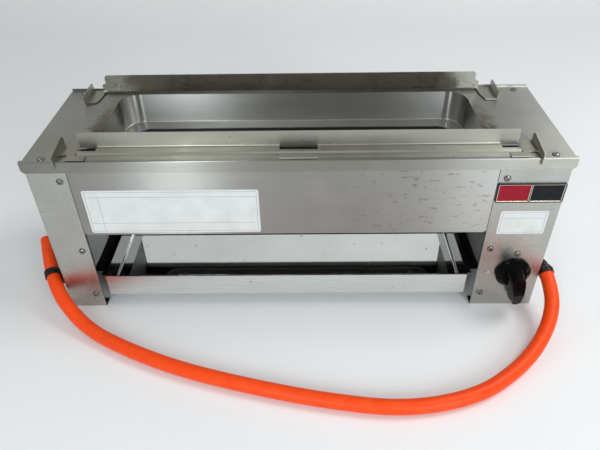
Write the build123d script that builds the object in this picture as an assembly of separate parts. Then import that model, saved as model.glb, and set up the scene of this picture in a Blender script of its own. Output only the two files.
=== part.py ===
"""Gas skewer grill: a long stainless box with two leg boxes, a cooking chamber over
a burner, two lift-off skewer rails, a pull-out water tray, a lever valve and a hose.

Millimetres, +Z up, +X to the right of the user, who stands on the -Y side.
The origin is on the table, under the middle of the grill with its knob.
"""
from build123d import *
import math
import os

# Casing
LID_W = 556.6            # over the turned-down sides of the lid
DEPTH = 165.0            # front rim to back face
HEIGHT = 205.0           # table to the top of the lid
SHEET = 0.8              # stainless sheet of the casing
BEND = 2.0               # outer radius of a fold
FOLD = 1.2               # outer radius of the boxes' top and bottom folds
FIT = 0.15               # gap between the lid's flanges and the body
RIM_EAR = 1.7            # front rim beyond the sides of the lid
RIM_H = 13.0
RIM_CUT = 3.0            # cut-off corner under each ear
REAR_LIP = 3.5           # raised back edge of the lid
LEFT_BOX_W = 42.3
RIGHT_BOX_W = 72.3
FLANGE = 13.0            # inner flanges of the boxes and panels
SEAM = 0.4               # open seam beside the front and rear panels
PANEL_DROP = 95.0        # lid top to the lower edge of the front panel
REAR_TOP_FOLD = 6.0      # rear panel's fold under the lid, short of the chamber
REAR_LOW_FOLD = 10.0     # its lower fold
TAB_W = 14.0             # panel tabs behind the faces of the boxes
TAB_LAP = 8.0
INNER_LOW = 62.0         # lower edge of the boxes' inner walls

# Cooking opening and chamber
OPEN_IN_LEFT = 66.3      # opening from the left side of the lid
OPEN_IN_RIGHT = 79.3     # opening from its right side
OPEN_FRONT = 30.5        # from the front rim
OPEN_BACK = 154.5
OPEN_R = 22.0
LINER_T = 0.8
LINER_FLANGE = 3.5
STEP_DEPTH = 37.0        # lid top to the ledge
STEP_W = 17.0            # ledge width all round
CHAMBER_DEPTH = 107.0    # lid top to the lower edge of the chamber
DRIP_LIP = 3.0           # inward lip round the drip opening

# Air slots in the lid behind the front rail
SLOT_D = 7.0
SLOT_W = 41.0
END_SLOT_W = 16.0
SLOT_BACK = 26.2         # back edge of the slots, from the front rim

# Screws
HEAD_R = 3.8
HEAD_H = 2.0
SHANK_R = 2.0
SHANK_L = 6.0
HOLE_GAP = 0.15          # clearance round a shank
SCREW_LOW = 20.0         # rows of front screws above the table
SCREW_MIDDLE = 87.5
SCREW_TOP = 24.0         # top row below the lid top
SCREW_EDGE = 8.8         # screws from the inner edge of a box face
LID_SCREW_IN = 19.8      # lid screws from the sides of the lid
LID_SCREW_FRONT = 6.5
LID_SCREW_BACK = 156.5

# Valve and knob
KNOB_OUT = 27.0          # knob beyond the front rim
KNOB_IN = 31.65          # knob axis from the outer wall
KNOB_Z = 52.6
KNOB_REST = 10.0         # degrees that the lever stands off plumb
SKIRT_R = 19.8
SKIRT_H = 9.0
SKIRT_GAP = 1.2          # knob to the box face
GRIP_W = 21.0            # grip at its root, across the axis
GRIP_TIP_W = 15.0        # and across the tip
GRIP_DRAFT = 7.0         # degrees that the flanks lean in
LEVER_L = 37.0           # knob axis to the tip of the lever
GRIP_BACK = 17.5         # knob axis to the blunt end of the grip
STEM_R = 4.0
STEM_FIT = 0.05
STEM_IN_KNOB = 14.0
STEM_FLAT = 2.4          # twice the depth of the flat
STEM_CAP = 6.0           # knob in front of the stem
VALVE_R = 12.0
VALVE_L = 30.0
VALVE_SCREW = 27.5       # valve screws above and below the stem
PLUG_R = 2.6
PLUG_IN = 12.45          # plug from the inner edge of the box face

# Burner
BURNER_R = 15.0
BURNER_T = 0.8
BURNER_DEPTH = 77.0      # lid top to the burner axis
BURNER_GAP = 6.0         # closed end of the burner to the chamber end
PORTS = 18
PORT_L = 9.0
PORT_W = 1.8
PORT_TILT = 38.0
THROAT_R = 7.5
BELL_R = 17.0
MIXER_L = 44.0
BRACKET_T = 1.2
FOOT_L = 9.0             # bracket feet along the chamber wall
COVER_EDGE_DEPTH = 53.0  # lid top to the lower folds of the cover
COVER_CREST_DEPTH = 39.0
COVER_W = 62.0           # between the lower folds
COVER_SKIRT = 6.0
COVER_T = 1.0
COVER_SEAT = 0.1         # bracket slopes under the cover
PIPE_R = 4.0
INLET_PIPE_R = 5.0
INLET_BOSS_R = 7.0

# Water tray and its runners
TRAY_SIDE_LEFT = 7.55    # tray from the left inner wall
TRAY_SIDE_RIGHT = 9.55   # tray from the right inner wall
TRAY_LOW = 16.5
TRAY_TOP = 47.0
TRAY_BACK = 152.5        # from the front rim
TRAY_FACE = 2.5          # tray front behind the front rim
TRAY_FLANGE = 4.7
TRAY_T = 0.8
TRAY_R = 3.0
HEM = 2.4
RUNNER_OUT = 10.0        # runner channel beyond the inner wall
RUNNER_LIP = 5.0
RUNNER_SIDE = 0.8        # runner ledge to the tray's side
SLIDE_GAP = 0.1

# Skewer rails
FRONT_RAIL_IN_LEFT = 54.3   # rail ends from the sides of the lid
FRONT_RAIL_IN_RIGHT = 52.3
FRONT_RAIL_H = 19.0      # above the lid
FRONT_RAIL_WALL = 25.5   # wall, from the front rim
RAIL_T = 1.0
RAIL_BEND = 1.2
RAIL_BASE = 2.5          # top of the rail's base above the lid
RAIL_STEP_BACK = 14.0    # the base steps down between these two
RAIL_STEP_FRONT = 12.0
RAIL_LIP = 3.5           # front edge of the lip, from the front rim
WINDOW_D = 8.0           # windows in the base, in front of the wall
NOTCH_BACK = 9.6         # notches in the lip end here
NOTCH_GAP = 0.4
END_NOTCH_W = 18.0
BACK_RAIL_IN_LEFT = 47.8
BACK_RAIL_IN_RIGHT = 67.8
BACK_RAIL_H = 24.0
BACK_RAIL_WALL = 156.0
BACK_RAIL_FOOT = 5.5
RAIL_CORNER = 4.0
LUG_R = 3.6
LUG_H = 9.7
FOOT_W = 6.0

# Rail brackets and the middle clip
PLATE_T = 1.0
PLATE_LIFT = 1.0         # bracket plate above the lid, on its dimples
DIMPLE_R = 3.0
EAR_T = 1.2
CLIP_LEFT = -17.7
CLIP_W = 39.0
CLIP_T = 0.8
CLIP_H = 2.2
CLIP_FRONT = 2.0
CLIP_BACK = 9.0
TAB_FRONT = 1.0          # bracket tabs that stand in the lip's end notches
EAR_IN = 34.3            # ears of the front brackets from the sides of the lid
TAB_FROM_EAR = 11.0
TAB_WIDE = 20.0
HOOK_DROP = 6.0          # hook in front of the rim, below the lid top
REAR_EAR_IN_LEFT = 28.0
REAR_EAR_IN_RIGHT = 45.3
REAR_PLATE_Y = (59.0, 92.5)

# Badge
BADGE_W = 70.4
BADGE_H = 23.6
BADGE_T = 1.6
BADGE_DROP = 53.6        # lid top to the lower edge of the badge
BADGE_RIM = 1.6
BADGE_SINK = 0.5         # fields below the badge rim
BADGE_R = 2.0
BADGE_SPLIT = 0.5        # share of the width that the first field takes

# Gas inlet and hose
HOSE_R = 8.0
HOSE_BORE = 4.75
BORE_L = 14.0
ELBOW_DROP = 10.0        # elbow corner to the hose end
ELBOW_R = 5.6
ELBOW_BEND = 7.0
COLLAR_R = 7.4
COLLAR_L = 2.5
NUT_R = 8.0
NUT_L = 3.0
BAND_T = 0.9
BAND_W = 6.0
BAND_FIT = 0.05
CLIP_RUN = 3.6           # band centre along the first run of the hose
HOLDER_RUN = 28.4        # holder centre along the last run but one
HOLDER_W = 8.0
HOLDER_PLATE_UP = 10.0   # its plate above and below the hose line
HOLDER_PLATE_DOWN = 14.0
HOSE_FROM_RIGHT = [      # X from the outer wall of the control box
    (10.3, -58.5, 46.6), (13.05, -86.0, 36.4), (4.15, -116.0, 25.0), (-17.35, -147.0, 14.0),
    (-48.35, -175.5, 8.0), (-95.35, -206.5, 8.0), (-167.35, -221.5, 8.0), (-245.35, -212.0, 8.0),
]
HOSE_FROM_LEFT = [       # X from the outer wall of the other box
    (227.35, -193.5, 8.0), (149.35, -171.0, 8.0), (84.35, -143.0, 8.0), (31.35, -112.5, 8.0),
    (-6.15, -80.0, 31.5), (-27.65, -34.0, 47.5), (-36.15, -9.0, 56.0),
]
HOSE_STRAIGHT = 0.45     # part of the shorter run that each bend takes

# Derived places
FRONT = (KNOB_OUT - DEPTH - HEAD_H) / 2
BACK = FRONT + DEPTH
FACE = FRONT + SHEET + FIT
ROOF = HEIGHT - SHEET
RIM_W = LID_W + 2 * RIM_EAR
PANEL_LOW = HEIGHT - PANEL_DROP
SCREW_HEIGHTS = (SCREW_LOW, SCREW_MIDDLE, HEIGHT - SCREW_TOP)
LID_SCREW_X = LID_W / 2 - LID_SCREW_IN
BODY_X = LID_W / 2 - SHEET - FIT
LEFT_X = -BODY_X + LEFT_BOX_W
RIGHT_X = BODY_X - RIGHT_BOX_W
KNOB_X = BODY_X - KNOB_IN
PLUG_X = RIGHT_X + PLUG_IN
TRAY_LEFT = LEFT_X + TRAY_SIDE_LEFT
TRAY_RIGHT = RIGHT_X - TRAY_SIDE_RIGHT
FRONT_RAIL_LEFT = FRONT_RAIL_IN_LEFT - LID_W / 2
FRONT_RAIL_RIGHT = LID_W / 2 - FRONT_RAIL_IN_RIGHT
FRONT_RAIL_TOP = HEIGHT + FRONT_RAIL_H
BACK_RAIL_LEFT = BACK_RAIL_IN_LEFT - LID_W / 2
BACK_RAIL_RIGHT = LID_W / 2 - BACK_RAIL_IN_RIGHT
BACK_RAIL_TOP = HEIGHT + BACK_RAIL_H
LUG_Z = HEIGHT + LUG_H
EAR_X_FRONT = LID_W / 2 - EAR_IN
TAB_OUTER = EAR_X_FRONT - TAB_FROM_EAR
TAB_INNER = TAB_OUTER - TAB_WIDE
OPEN_LEFT = OPEN_IN_LEFT - LID_W / 2
OPEN_RIGHT = LID_W / 2 - OPEN_IN_RIGHT
OPEN_W = OPEN_RIGHT - OPEN_LEFT
OPEN_D = OPEN_BACK - OPEN_FRONT
OPEN_X = (OPEN_LEFT + OPEN_RIGHT) / 2
OPEN_Y = FRONT + (OPEN_FRONT + OPEN_BACK) / 2
STEP_Z = HEIGHT - STEP_DEPTH
LOW_W = OPEN_W - 2 * STEP_W
LOW_D = OPEN_D - 2 * STEP_W
LOW_R = OPEN_R - 6
HOLE_R = SHANK_R + HOLE_GAP
CHAMBER_LOW = HEIGHT - CHAMBER_DEPTH
BURNER_Z = HEIGHT - BURNER_DEPTH
COVER_EDGE_Z = HEIGHT - COVER_EDGE_DEPTH
COVER_CREST_Z = HEIGHT - COVER_CREST_DEPTH
BURNER_LEFT = OPEN_X - LOW_W / 2 + BURNER_GAP
LEDGE_Z = TRAY_TOP - TRAY_T - SLIDE_GAP
HOSE_POINTS = [(BODY_X + x, y, z) for x, y, z in HOSE_FROM_RIGHT]
HOSE_POINTS += [(x - BODY_X, y, z) for x, y, z in HOSE_FROM_LEFT]


def block(x0, x1, y0, y1, z0, z1):
    """Box between two corners"""
    return Pos((x0 + x1) / 2, (y0 + y1) / 2, (z0 + z1) / 2) * Box(x1 - x0, y1 - y0, z1 - z0)


def band(points, thickness, side=Side.RIGHT, radius=BEND):
    """Section of a folded sheet whose outer skin follows the points"""
    skin = FilletPolyline(*points, radius=radius) if len(points) > 2 else Polyline(*points)
    return make_face(offset(skin, thickness, side=side, closed=True).edges())


def fold_along_x(points, x0, x1, thickness=SHEET, side=Side.RIGHT, radius=BEND):
    """Folded sheet drawn as (y, z) and running along X"""
    plane = Plane(origin=(x0, 0, 0), x_dir=(0, 1, 0), z_dir=(1, 0, 0))
    return extrude(plane * band(points, thickness, side, radius), x1 - x0)


def fold_along_y(points, y0, y1, thickness=SHEET, side=Side.RIGHT, radius=BEND):
    """Folded sheet drawn as (x, z) and running along Y"""
    plane = Plane(origin=(0, y1, 0), x_dir=(1, 0, 0), z_dir=(0, -1, 0))
    return extrude(plane * band(points, thickness, side, radius), y1 - y0)


def plate_from_above(points, z0, thickness):
    """Flat plate drawn as (x, y)"""
    return extrude(Pos(0, 0, z0) * make_face(Polyline(*points, close=True)), thickness)


def rod(r, length, at, axis):
    """Round bar that starts at a point and runs along an axis"""
    return extrude(Plane(origin=at, z_dir=axis) * Circle(r), length)


def ring(r_in, r_out, length, at, axis):
    """Round sleeve that starts at a point and runs along an axis"""
    return extrude(Plane(origin=at, z_dir=axis) * (Circle(r_out) - Circle(r_in)), length)


def screw_places():
    """Front screws as (x, z)"""
    left = [(LEFT_X - SCREW_EDGE, z) for z in SCREW_HEIGHTS]
    right = [(RIGHT_X + SCREW_EDGE, z) for z in SCREW_HEIGHTS]
    return left + right


def lid_screw_places():
    """Lid screws as (x, y)"""
    rows = (FRONT + LID_SCREW_FRONT, FRONT + LID_SCREW_BACK)
    return [(side * LID_SCREW_X, y) for side in (-1, 1) for y in rows]


def drill_y(solid, places, y0, y1, r=HOLE_R):
    """Round holes along Y at each (x, z)"""
    for x, z in places:
        solid -= rod(r, y1 - y0, (x, y0, z), (0, 1, 0))
    return solid


def opening_outline(grow=0.0):
    """Cooking opening, grown by a wall if asked"""
    return RectangleRounded(OPEN_W + 2 * grow, OPEN_D + 2 * grow, OPEN_R + grow)


def chamber_outline(grow=0.0):
    """Lower chamber, inside the ledge"""
    return RectangleRounded(LOW_W + 2 * grow, LOW_D + 2 * grow, LOW_R + grow)


def lid_slots():
    """Air slots behind the front rail as (x0, x1)"""
    middle = CLIP_LEFT + CLIP_W / 2
    return [
        (FRONT_RAIL_LEFT, FRONT_RAIL_LEFT + END_SLOT_W),
        (middle - SLOT_W / 2, middle + SLOT_W / 2),
        (FRONT_RAIL_RIGHT - END_SLOT_W, FRONT_RAIL_RIGHT),
    ]


def top_plate():
    """Lid in one sheet: front rim with ears, turned-down sides, raised back edge"""
    half = LID_W / 2
    low = HEIGHT - RIM_H
    lip_y = BACK - SHEET
    deck = [(FRONT, low), (FRONT, HEIGHT), (lip_y, HEIGHT), (lip_y, HEIGHT + REAR_LIP)]
    lid = fold_along_x(deck, -half + BEND, half - BEND, radius=SHEET + 0.2)
    sides = [(-half, low), (-half, HEIGHT), (half, HEIGHT), (half, low)]
    lid += fold_along_y(sides, FRONT + SHEET, BACK)
    rim = [(FRONT, low), (FRONT, HEIGHT), (FRONT + 2 * BEND, HEIGHT)]
    ears = fold_along_x(rim, -RIM_W / 2, RIM_W / 2, radius=SHEET + 0.2)
    for side in (-1, 1):
        corner = Pos(side * RIM_W / 2, FRONT, low) * Rot(0, 45, 0)
        ears -= corner * Box(RIM_CUT * math.sqrt(2), 4 * SHEET, RIM_CUT * math.sqrt(2))
    lid += ears
    lid -= extrude(Pos(OPEN_X, OPEN_Y, HEIGHT - 3) * opening_outline(), 6)
    slot_y = FRONT + SLOT_BACK
    for x0, x1 in lid_slots():
        slot = Pos((x0 + x1) / 2, slot_y - SLOT_D / 2, HEIGHT - 3)
        lid -= extrude(slot * RectangleRounded(x1 - x0, SLOT_D, 1.5), 6)
    for x, y in lid_screw_places():
        lid -= rod(HOLE_R, 6, (x, y, HEIGHT - 3), (0, 0, 1))
    return lid


def leg_box(side, x_inner):
    """Box at one end: face, outer wall and back, with flanges round top and bottom"""
    x_outer = side * BODY_X
    x0, x1 = sorted((x_outer, x_inner))
    shell = block(x0, x1, FACE, BACK, 0, ROOF)
    corners = shell.edges().filter_by(Axis.Z).group_by(Axis.X)[0 if side < 0 else -1]
    shell = fillet(corners, BEND)
    rims = shell.edges().group_by(Axis.Z)
    folds = [e for e in rims[0] + rims[-1] if abs(e.center().X - x_inner) > 0.1]
    shell = fillet(folds, FOLD)
    wall_x = x_outer - side * SHEET
    past = x_inner - side * SHEET
    a0, a1 = sorted((wall_x, past))
    hollow = block(a0, a1, FACE + SHEET, BACK - SHEET, SHEET, ROOF - SHEET)
    inner = hollow.edges().filter_by(Axis.Z).group_by(Axis.X)[0 if side < 0 else -1]
    shell -= fillet(inner, BEND - SHEET)
    b0, b1 = sorted((x_outer - side * FLANGE, past))
    shell -= block(b0, b1, FACE + FLANGE, BACK - FLANGE, -1, HEIGHT)
    for x, y in lid_screw_places():
        if x * side > 0:
            shell -= rod(HOLE_R, 6, (x, y, ROOF - 3), (0, 0, 1))
    shell = drill_y(shell, [p for p in screw_places() if p[0] * side > 0], FACE - 1, FACE + 2)
    return drill_y(shell, [p for p in screw_places() if p[0] * side > 0], BACK - 2, BACK + 1)


def left_housing():
    return leg_box(-1, LEFT_X)


def right_housing():
    """Control box: also carries the valve, the plug and the gas inlet"""
    box = leg_box(1, RIGHT_X)
    box -= rod(STEM_R + 1.5, 4, (KNOB_X, FACE - 2, KNOB_Z), (0, 1, 0))
    valve_holes = [(KNOB_X, KNOB_Z + VALVE_SCREW), (KNOB_X, KNOB_Z - VALVE_SCREW)]
    box = drill_y(box, valve_holes + [(PLUG_X, KNOB_Z)], FACE - 2, FACE + 2)
    corner = elbow_corner()
    return box - rod(INLET_PIPE_R + 0.3, 6, (BODY_X - 3, corner[1], corner[2]), (1, 0, 0))


def panel_tabs(low, high, y0):
    """Joggled tabs that reach behind the faces of the two boxes"""
    left = block(LEFT_X - TAB_W, LEFT_X + TAB_LAP, y0, y0 + SHEET, low, high)
    right = block(RIGHT_X - TAB_LAP, RIGHT_X + TAB_W, y0, y0 + SHEET, low, high)
    return left + right


def front_panel():
    """Front sheet with folded edges, relief notches and end tabs"""
    path = [(FACE + FLANGE, PANEL_LOW), (FACE, PANEL_LOW), (FACE, ROOF), (FACE + FLANGE, ROOF)]
    panel = fold_along_x(path, LEFT_X + SEAM, RIGHT_X - SEAM)
    for x in (LEFT_X + SEAM, RIGHT_X - SEAM):
        panel -= Pos(x, FACE + FLANGE / 2, PANEL_LOW) * Box(5, FLANGE + 2, 5)
    tabs = panel_tabs(PANEL_LOW + 6, ROOF - 5, FACE + SHEET)
    tabs = drill_y(tabs, screw_places(), FACE - 1, FACE + 3 * SHEET)
    return panel + tabs


def rear_panel():
    """Back sheet, as high as the front one, so that air and light reach the tray"""
    low_fold = (BACK - REAR_LOW_FOLD, PANEL_LOW)
    path = [(BACK - REAR_TOP_FOLD, ROOF), (BACK, ROOF), (BACK, PANEL_LOW), low_fold]
    panel = fold_along_x(path, LEFT_X + SEAM, RIGHT_X - SEAM)
    tabs = panel_tabs(PANEL_LOW + 6, ROOF - 5, BACK - 2 * SHEET)
    tabs = drill_y(tabs, screw_places(), BACK - 3 * SHEET, BACK + 1)
    return panel + tabs


def inner_wall(side, x_face):
    """Wall between a box and the tray bay, with front and back flanges"""
    y0 = FACE + 2 * SHEET
    y1 = BACK - 2 * SHEET
    out = x_face + side * FLANGE
    path = [(out, y0), (x_face, y0), (x_face, y1), (out, y1)]
    turn = Side.LEFT if side < 0 else Side.RIGHT
    section = band(path, SHEET, turn)
    wall = extrude(Pos(0, 0, INNER_LOW) * section, ROOF - SHEET - INNER_LOW)
    for y in (y0, y1 - SHEET):
        a, b = sorted((out, x_face + side * BEND))
        wall += block(a, b, y, y + SHEET, 8, INNER_LOW + BEND)
    own = [p for p in screw_places() if p[0] * side > 0]
    wall = drill_y(wall, own, y0 - 1, y0 + 2)
    return drill_y(wall, own, y1 - 2, y1 + 1)


def left_inner_wall():
    return inner_wall(-1, LEFT_X)


def right_inner_wall():
    """Inner wall of the control box, open for the mixer tube"""
    wall = inner_wall(1, RIGHT_X)
    return wall - rod(BURNER_R + 3, 6, (RIGHT_X - 3, OPEN_Y, BURNER_Z), (1, 0, 0))


def tray_runner(side, x_face, tray_side):
    """Channel that the tray's flange slides in"""
    y0 = FACE + FLANGE
    y1 = BACK - FLANGE
    deep = x_face + side * RUNNER_OUT
    lip = tray_side + side * (RUNNER_SIDE + SHEET)
    top = INNER_LOW
    low = LEDGE_Z - SHEET
    path = [(x_face, top), (deep, top), (deep, low), (lip, low), (lip, low - RUNNER_LIP)]
    turn = Side.RIGHT if side > 0 else Side.LEFT
    return fold_along_y(path, y0, y1, side=turn, radius=SHEET + 0.4)


def left_runner():
    return tray_runner(-1, LEFT_X, TRAY_LEFT)


def right_runner():
    return tray_runner(1, RIGHT_X, TRAY_RIGHT)


def water_tray():
    """Folded tray with flanges that ride in the runners and a hemmed front"""
    y0 = FRONT + TRAY_FACE
    y1 = FRONT + TRAY_BACK
    tray = block(TRAY_LEFT, TRAY_RIGHT, y0, y1, TRAY_LOW, TRAY_TOP)
    tray = fillet(tray.edges().group_by(Axis.Z)[0], TRAY_R)
    t = TRAY_T
    hollow = block(TRAY_LEFT + t, TRAY_RIGHT - t, y0 + t, y1 - t, TRAY_LOW + t, TRAY_TOP + 5)
    tray -= fillet(hollow.edges().group_by(Axis.Z)[0], TRAY_R - t)
    for x0, x1 in ((TRAY_LEFT - TRAY_FLANGE, TRAY_LEFT + t), (TRAY_RIGHT - t, TRAY_RIGHT + TRAY_FLANGE)):
        tray += block(x0, x1, y0 + HEM, y1, TRAY_TOP - t, TRAY_TOP)
    hem = block(TRAY_LEFT, TRAY_RIGHT, y0, y0 + HEM, TRAY_TOP - 3 * HEM, TRAY_TOP)
    hem = fillet(hem.edges().filter_by(Axis.X).group_by(Axis.Z)[-1], HEM / 2 - 0.1)
    return tray + hem


def chamber_liner():
    """Rounded wall of the cooking chamber down to a ledge, hung on a flange under the lid"""
    t = LINER_T
    body = extrude(Pos(0, 0, STEP_Z - t) * opening_outline(t), ROOF - STEP_Z + t)
    body += extrude(Pos(0, 0, ROOF - t) * opening_outline(LINER_FLANGE), t)
    space = extrude(Pos(0, 0, STEP_Z) * opening_outline(), HEIGHT - STEP_Z)
    space = fillet(space.edges().group_by(Axis.Z)[0], 1.6)
    liner = body - space
    liner -= extrude(Pos(0, 0, STEP_Z - 2 * t) * chamber_outline(), 4 * t)
    return Pos(OPEN_X, OPEN_Y, 0) * liner


def chamber_skirt():
    """Narrower wall under the ledge, down to the lip of the drip opening"""
    t = LINER_T
    body = extrude(Pos(0, 0, CHAMBER_LOW) * chamber_outline(t), STEP_Z - t - CHAMBER_LOW)
    space = extrude(Pos(0, 0, CHAMBER_LOW + t) * chamber_outline(), STEP_Z - CHAMBER_LOW)
    skirt = body - space
    skirt -= extrude(Pos(0, 0, CHAMBER_LOW - 1) * chamber_outline(-DRIP_LIP), 4)
    end = OPEN_X + LOW_W / 2
    hole = rod(BURNER_R + 0.4, 6, (end - 3, OPEN_Y, BURNER_Z), (1, 0, 0))
    return Pos(OPEN_X, OPEN_Y, 0) * skirt - hole


def burner_tube():
    """Ported tube, domed at the closed end and reduced into the mixer at the other"""
    x1 = RIGHT_X - 6
    r, t = BURNER_R, BURNER_T
    profile = Polyline(
        (BURNER_LEFT, 0), (BURNER_LEFT, r * 0.6), (BURNER_LEFT + r * 0.4, r), (x1, r),
        (x1, r - t), (BURNER_LEFT + r * 0.4 + t, r - t), (BURNER_LEFT + t, r * 0.6 - t / 2),
        (BURNER_LEFT + t, 0), close=True)
    section = Plane(origin=(0, OPEN_Y, BURNER_Z), x_dir=(1, 0, 0), z_dir=(0, -1, 0)) * make_face(profile)
    axis = Axis((0, OPEN_Y, BURNER_Z), (1, 0, 0))
    tube = revolve(section, axis, 360)
    first = BURNER_LEFT + 26
    pitch = (OPEN_X + LOW_W / 2 - 24 - first) / (PORTS - 1)
    for tilt in (-PORT_TILT, PORT_TILT):
        for i in range(PORTS):
            place = Pos(first + i * pitch, OPEN_Y, BURNER_Z) * Rot(tilt, 0, 0)
            tube -= place * Pos(0, 0, r) * Box(PORT_W, PORT_L, r)
    return tube


def cover_slope():
    """Rise of the cover's roof for each millimetre across"""
    return (COVER_CREST_Z - COVER_EDGE_Z) / (COVER_W / 2)


def burner_bracket(x):
    """Saddle plate across the chamber, with feet on the walls and slopes for the cover"""
    half = LOW_D / 2
    low = CHAMBER_LOW + 6
    edge = COVER_W / 2 - 2
    slope = cover_slope()
    seat = COVER_EDGE_Z + 2 * slope - COVER_T * math.hypot(1, slope) - COVER_SEAT
    crest = 8
    shoulder = seat - 12
    top = seat + (edge - crest) * slope
    outline = Polyline(
        (-half, low), (half, low), (half, shoulder), (edge, shoulder), (edge, seat), (crest, top),
        (-crest, top), (-edge, seat), (-edge, shoulder), (-half, shoulder), close=True)
    plane = Plane(origin=(x, OPEN_Y, 0), x_dir=(0, 1, 0), z_dir=(1, 0, 0))
    plate = extrude(plane * make_face(outline), BRACKET_T)
    plate -= rod(BURNER_R + 0.1, 3 * BRACKET_T, (x - BRACKET_T, OPEN_Y, BURNER_Z), (1, 0, 0))
    for s in (-1, 1):
        y0, y1 = sorted((OPEN_Y + s * (half - BRACKET_T), OPEN_Y + s * half))
        plate += block(x, x + FOOT_L, y0, y1, low, shoulder)
    return plate


def bracket_x(end):
    """Places of the two burner brackets"""
    left = OPEN_X - LOW_W / 2 + LOW_R + 2
    right = OPEN_X + LOW_W / 2 - LOW_R - 2 - FOOT_L
    return left if end < 0 else right


def burner_bracket_left():
    return burner_bracket(bracket_x(-1))


def burner_bracket_right():
    return burner_bracket(bracket_x(1))


def flame_cover():
    """Roof-shaped cover over the burner that spreads the heat and sheds the fat"""
    x0 = bracket_x(-1) - 4
    x1 = bracket_x(1) + BRACKET_T + 4
    edge = COVER_W / 2
    low = COVER_EDGE_Z - COVER_SKIRT
    path = [(-edge - 4, low), (-edge, COVER_EDGE_Z), (0, COVER_CREST_Z), (edge, COVER_EDGE_Z), (edge + 4, low)]
    return fold_along_x([(OPEN_Y + y, z) for y, z in path], x0, x1, COVER_T, radius=2.5)


def mixer_tube():
    """Venturi between the jet and the burner: bell, throat and flare"""
    x0 = RIGHT_X - 6
    x1 = x0 + MIXER_L
    t = BURNER_T
    throat = x0 + MIXER_L * 0.55
    outer = [(x0, BURNER_R - t - 0.05), (x0 + 6, BURNER_R - t - 0.05), (throat, THROAT_R + t), (x1, BELL_R)]
    inner = [(x1, BELL_R - t), (throat, THROAT_R), (x0 + 6, BURNER_R - 2 * t - 0.05),
             (x0, BURNER_R - 2 * t - 0.05)]
    shifted = [(x - 5, y) for x, y in outer + inner]
    section = Plane(origin=(0, OPEN_Y, BURNER_Z), x_dir=(1, 0, 0), z_dir=(0, -1, 0))
    face = section * make_face(Polyline(*shifted, close=True))
    return revolve(face, Axis((0, OPEN_Y, BURNER_Z), (1, 0, 0)), 360)


def mixer_mouth():
    """X of the open end of the mixer tube"""
    return RIGHT_X - 11 + MIXER_L


def air_shutter():
    """Disc over the bell with four air windows and a hub for the jet"""
    x = mixer_mouth()
    disc = rod(BELL_R + 1.0, 1.0, (x, OPEN_Y, BURNER_Z), (1, 0, 0))
    disc += ring(BELL_R + 0.1, BELL_R + 1.0, 6, (x - 5, OPEN_Y, BURNER_Z), (1, 0, 0))
    for i in range(4):
        turn = Pos(x, OPEN_Y, BURNER_Z) * Rot(45 + 90 * i, 0, 0)
        disc -= turn * Pos(0, 0, 11.5) * Box(8, 9, 6)
    return disc - rod(5.05, 9, (x - 4, OPEN_Y, BURNER_Z), (1, 0, 0))


def gas_jet():
    """Brass jet through the hub of the shutter, with a hex for the spanner"""
    x = mixer_mouth()
    jet = rod(5.0, 4, (x - 3, OPEN_Y, BURNER_Z), (1, 0, 0))
    plane = Plane(origin=(x + 1, OPEN_Y, BURNER_Z), z_dir=(1, 0, 0))
    jet += extrude(plane * RegularPolygon(7.5, 6), 6)
    nose = Plane(origin=(x - 7, OPEN_Y, BURNER_Z), z_dir=(1, 0, 0))
    jet += loft([nose * Circle(2.2), nose.offset(4) * Circle(5.0)])
    return jet - rod(0.8, 20, (x - 8, OPEN_Y, BURNER_Z), (1, 0, 0))


def valve_y():
    """Front face of the valve body, behind the box face"""
    return FACE + SHEET


def valve_body():
    """Tapered plug valve: front flange, round body, outlet on top and inlet behind"""
    y = valve_y()
    body = rod(VALVE_R, VALVE_L, (KNOB_X, y, KNOB_Z), (0, 1, 0))
    face = Plane(origin=(KNOB_X, y, KNOB_Z), x_dir=(1, 0, 0), z_dir=(0, 1, 0))
    ear = SlotCenterToCenter(2 * VALVE_SCREW, 14)
    body += extrude(face * Rot(0, 0, 90) * ear, 3)
    body += rod(7.0, VALVE_R + 6, (KNOB_X, y + 18, KNOB_Z), (0, 0, 1))
    corner = elbow_corner()
    body += rod(INLET_BOSS_R, VALVE_R + 6, (KNOB_X, corner[1], corner[2]), (1, 0, 0))
    body = chamfer(body.edges().filter_by(GeomType.CIRCLE).sort_by(Axis.Y)[-1], 1.5)
    body -= rod(STEM_R + STEM_FIT, VALVE_L - 8, (KNOB_X, y - 1, KNOB_Z), (0, 1, 0))
    holes = [(KNOB_X, KNOB_Z + VALVE_SCREW), (KNOB_X, KNOB_Z - VALVE_SCREW)]
    return drill_y(body, holes, y - 1, y + 5)


def knob_frame():
    """Plane at the back of the knob, facing the user"""
    return Plane(origin=(KNOB_X, FACE - SKIRT_GAP, KNOB_Z), x_dir=(1, 0, 0), z_dir=(0, -1, 0))


def knob_depth():
    """Back of the skirt to the front of the grip"""
    return KNOB_OUT + FACE - FRONT - SKIRT_GAP


def valve_stem():
    """Stem with a flat for the knob, turning in the valve body"""
    end = knob_depth() - STEM_CAP
    root = FACE - SKIRT_GAP - (valve_y() + VALVE_L - 12)
    stem = extrude(Pos(0, 0, root) * Circle(STEM_R), end - root)
    stem -= Pos(0, STEM_R, end - STEM_IN_KNOB / 2) * Box(12, STEM_FLAT, STEM_IN_KNOB)
    return knob_frame() * (Rot(0, 0, KNOB_REST) * stem)


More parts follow.
